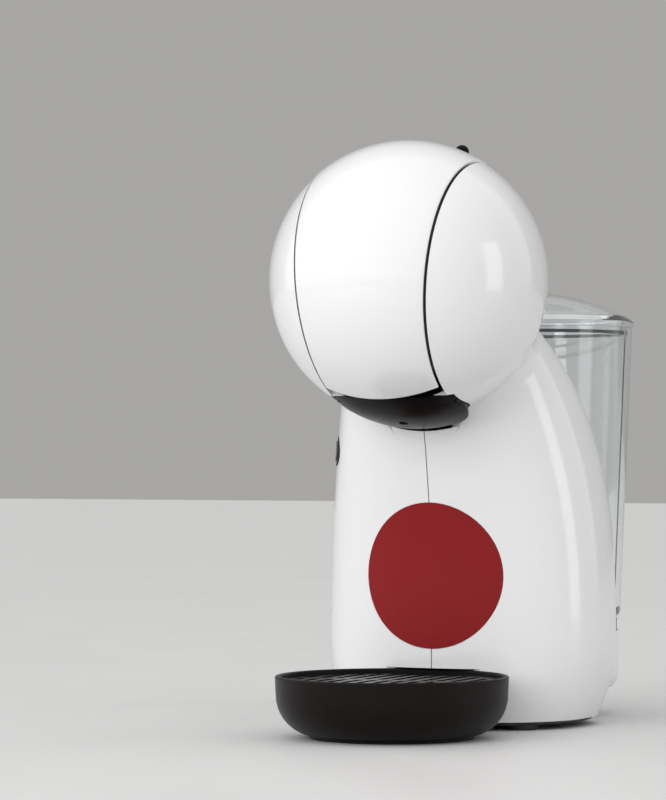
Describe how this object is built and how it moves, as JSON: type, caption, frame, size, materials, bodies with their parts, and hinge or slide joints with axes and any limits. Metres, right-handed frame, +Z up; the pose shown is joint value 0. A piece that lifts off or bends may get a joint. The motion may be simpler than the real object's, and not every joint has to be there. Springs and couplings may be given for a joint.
{
  "type": "pod coffee machine",
  "caption": "Compact pod coffee machine with a ball head, lifting visor, capsule drawer, hot and cold lever, round drip tray and a clear rear water tank.",
  "frame": {"origin": "on the table, under the middle of the overall width and depth", "axes": "+Z up, the front with the capsule mouth and drip tray faces -Y, +X is the machine's left-hand side seen from its back"},
  "size_m": [0.1393, 0.274, 0.2795],
  "materials": {
    "white_shell": "high gloss moulded white",
    "accent_red": "satin dark red",
    "black_gloss": "satin black",
    "black_matt": "fine grain matt black",
    "clear_tank": "clear moulded plastic",
    "rubber_black": "matt rubber",
    "rubber_grey": "soft silicone",
    "steel": "zinc plated steel",
    "aluminium_block": "die cast",
    "pump_metal": "laminated pump case",
    "frame_grey": "glass filled nylon",
    "hose_clear": "silicone hose",
    "board_green": "printed circuit board",
    "button_dark": "smooth dark green-black"
  },
  "bodies": {
    "housing": {"right_body_shell": "white_shell", "left_body_shell": "white_shell", "seam_strip": "black_matt", "accent_disc": "accent_red", "crown_cover": "white_shell", "bay_trims": "black_matt", "tray_dock": "black_matt", "base_plate": "black_matt", "base_screws": "steel", "rubber_feet": "rubber_black", "rear_base_cover": "white_shell", "cord_inlet": "black_matt", "tank_seat": "black_matt", "tank_spigot": "frame_grey", "spigot_seal": "rubber_grey", "hinge_pins": "steel", "drawer_rails": "black_matt", "injector_guide": "frame_grey", "button_bezel": "black_gloss", "chassis": "frame_grey", "pump": "pump_metal", "pump_bushes": "rubber_black", "pump_cradle": "frame_grey", "thermoblock": "aluminium_block", "thermoblock_clips": "steel", "thermal_cutouts": "pump_metal", "suction_hose": "hose_clear", "pressure_hose": "hose_clear", "brew_hose": "hose_clear", "selector_valve": "frame_grey", "feed_pipe": "steel", "control_board": "board_green", "button_switch": "black_matt"},
    "visor": {"visor_shell": "white_shell", "visor_arms": "black_matt"},
    "injector": {"injector_piston": "frame_grey", "needle": "steel", "injector_seal": "rubber_grey"},
    "capsule_drawer": {"capsule_drawer": "black_gloss"},
    "selection_lever": {"selection_lever": "steel", "lever_knob": "black_gloss"},
    "power_button": {"power_button": "button_dark"},
    "water_tank": {"water_tank": "clear_tank", "valve_housing": "frame_grey", "valve_spring": "steel"},
    "tank_valve": {"valve_poppet": "frame_grey"},
    "tank_lid": {"tank_lid": "clear_tank", "lid_seal": "rubber_black"},
    "drip_tray": {"drip_tray": "black_matt"},
    "drip_grid": {"drip_grid": "black_gloss"}
  },
  "joints": [
    {"name": "visor_hinge", "type": "hinge", "parent": "housing", "child": "visor", "pos_m": [0, -0.0633, 0.211], "axis": [-1, 0, 0], "range_deg": [0, 48]},
    {"name": "injector_lift", "type": "slide", "parent": "housing", "child": "injector", "axis": [0, 0, 1], "range_m": [0, 0.008]},
    {"name": "drawer_slide", "type": "slide", "parent": "housing", "child": "capsule_drawer", "axis": [0, -0.9781, -0.2079], "range_m": [0, 0.06]},
    {"name": "lever_swing", "type": "hinge", "parent": "housing", "child": "selection_lever", "pos_m": [0, -0.0163, 0.205], "axis": [0, 1, 0], "range_deg": [-16, 16]},
    {"name": "button_press", "type": "slide", "parent": "housing", "child": "power_button", "axis": [1, 0, 0], "range_m": [0, 0.0015], "stiffness_N_per_m": 300},
    {"name": "tank_lift", "type": "slide", "parent": "housing", "child": "water_tank", "axis": [0, 0, 1], "range_m": [0, 0.16]},
    {"name": "lid_lift", "type": "slide", "parent": "water_tank", "child": "tank_lid", "axis": [0, 0, 1], "range_m": [0, 0.05]},
    {"name": "valve_stroke", "type": "slide", "parent": "water_tank", "child": "tank_valve", "axis": [0, 0, 1], "range_m": [0, 0.002], "stiffness_N_per_m": 60, "springref_m": -0.001, "deforming": ["valve_spring"]},
    {"name": "tray_slide", "type": "slide", "parent": "housing", "child": "drip_tray", "axis": [0, -1, 0], "range_m": [0, 0.11]},
    {"name": "grid_lift", "type": "slide", "parent": "drip_tray", "child": "drip_grid", "axis": [0, 0, 1], "range_m": [0, 0.05]}
  ],
  "couplings": [
    {"joint": "injector_lift", "follows": "visor_hinge", "m_per_rad": 0.00943}
  ]
}
